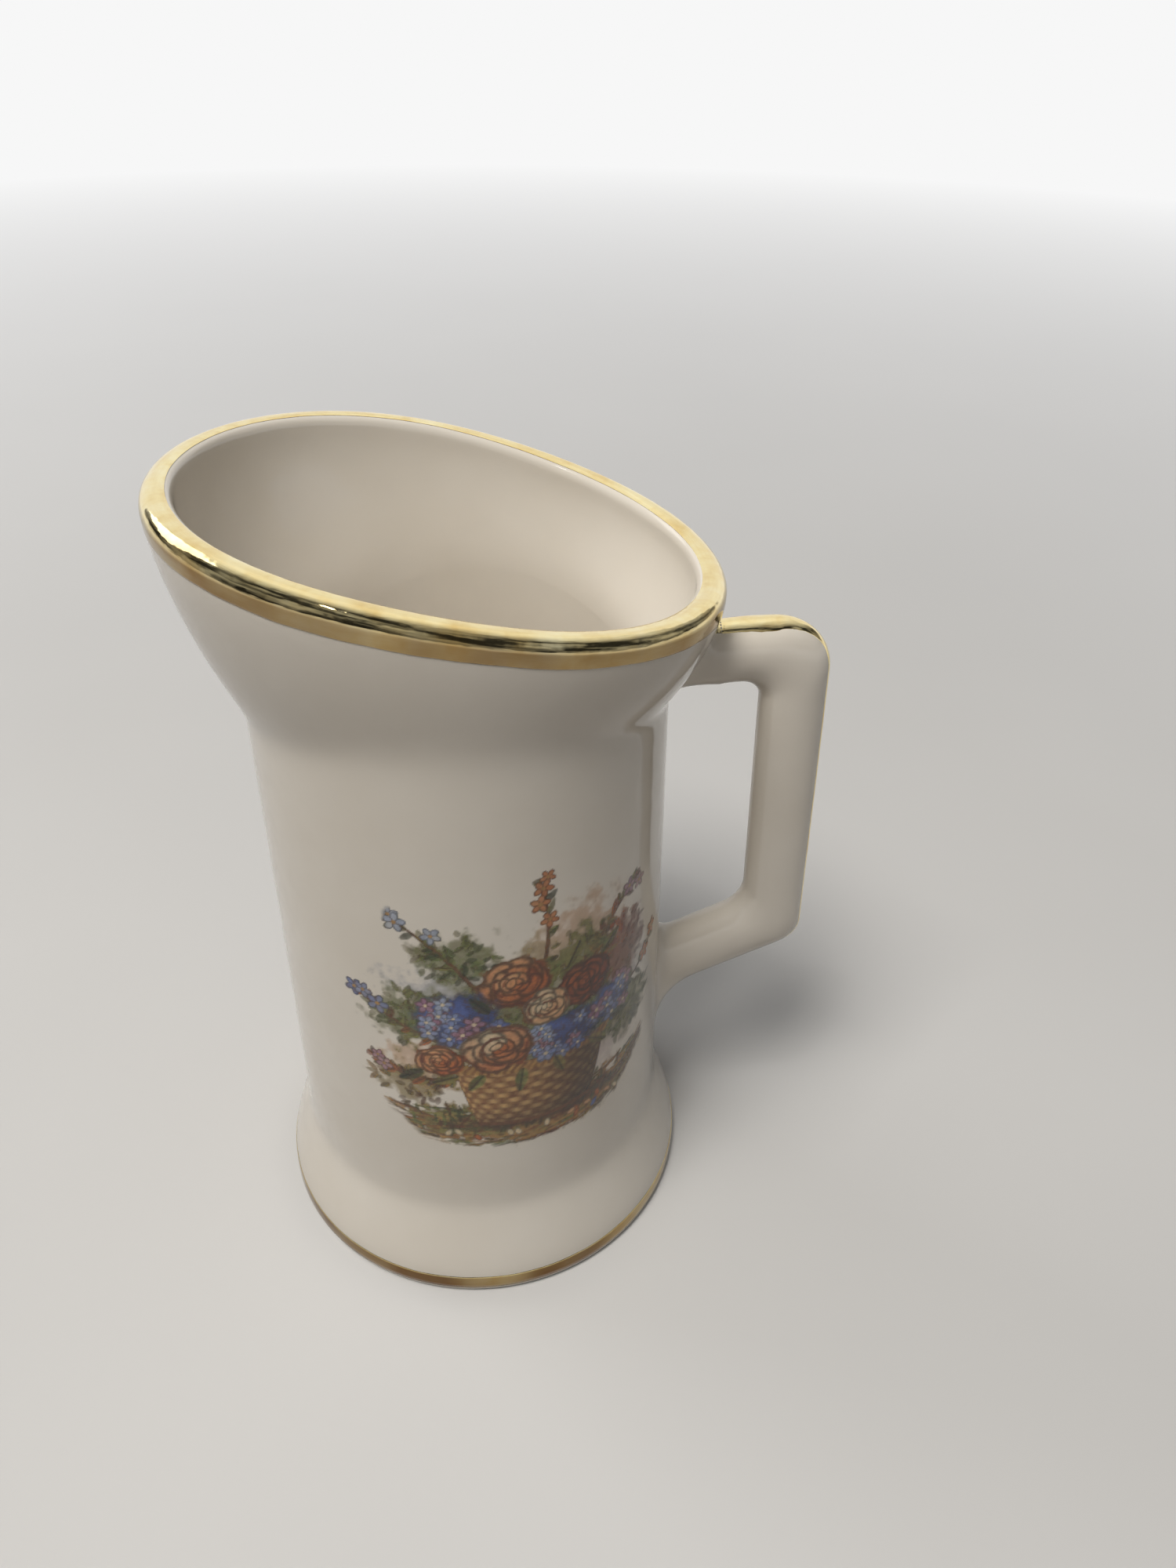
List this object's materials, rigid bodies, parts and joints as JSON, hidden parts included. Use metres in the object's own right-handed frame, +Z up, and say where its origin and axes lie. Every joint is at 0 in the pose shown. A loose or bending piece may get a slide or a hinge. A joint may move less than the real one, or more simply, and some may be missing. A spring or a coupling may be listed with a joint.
{
  "type": "shaving mug",
  "caption": "Porcelain shaving mug with a slanted, flared mouth, a spreading foot, a squared side handle, gold trim and a printed flower picture.",
  "frame": {"origin": "centre of the foot, on the plane that the mug stands on", "axes": "+Z is up, +X is the direction of the handle, -X is the high side of the lip, -Y is the side that carries the picture"},
  "size_m": [0.0733, 0.0564, 0.1029],
  "materials": {
    "porcelain": "gloss",
    "slip": "gloss",
    "gold": "worn bright gold lustre",
    "transfer": "printed ceramic colours, gloss"
  },
  "bodies": {
    "root": {"vessel": "porcelain", "handle": "porcelain", "handle_upper_lute": "slip", "handle_lower_lute": "slip", "rim_gilding": "gold", "handle_gilding": "gold", "foot_gilding": "gold", "transfer_print": "transfer"}
  },
  "joints": []
}
